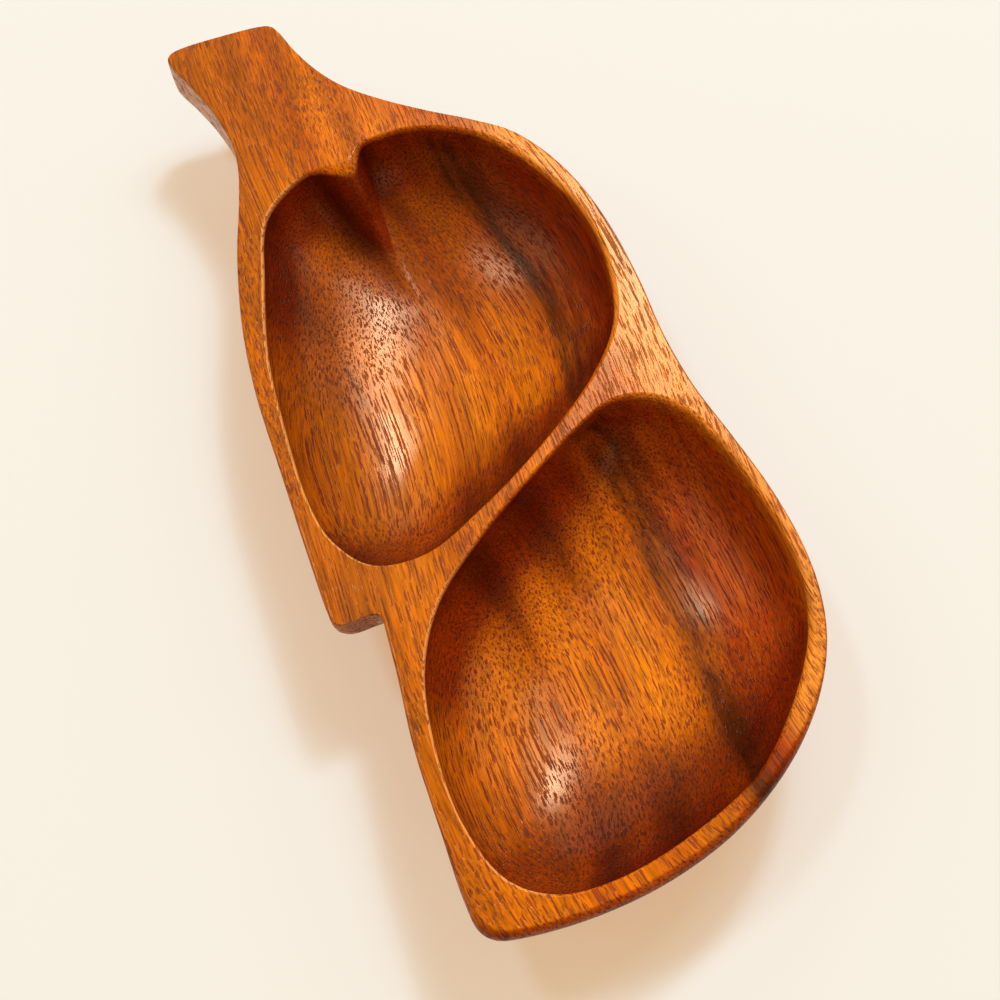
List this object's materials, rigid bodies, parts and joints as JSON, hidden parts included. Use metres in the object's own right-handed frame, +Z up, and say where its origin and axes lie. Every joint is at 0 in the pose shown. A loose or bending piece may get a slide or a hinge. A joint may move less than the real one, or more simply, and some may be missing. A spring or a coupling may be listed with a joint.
{
  "type": "divided serving dish",
  "caption": "Leaf-shaped wooden serving dish, carved from one plank: bowls sunk in a flat rim with a narrow wall between them, a stem for a handle and a flat foot.",
  "frame": {"origin": "centre of the dish's bounding box, on the table that its foot stands on", "axes": "+Y along the leaf from its tip to its stem, +Z up out of the bowls, +X to the right with the stem held away"},
  "size_m": [0.139, 0.3312, 0.04],
  "materials": {
    "oiled_hardwood": "satin"
  },
  "bodies": {
    "root": {"carved_dish": "oiled_hardwood"}
  },
  "joints": []
}
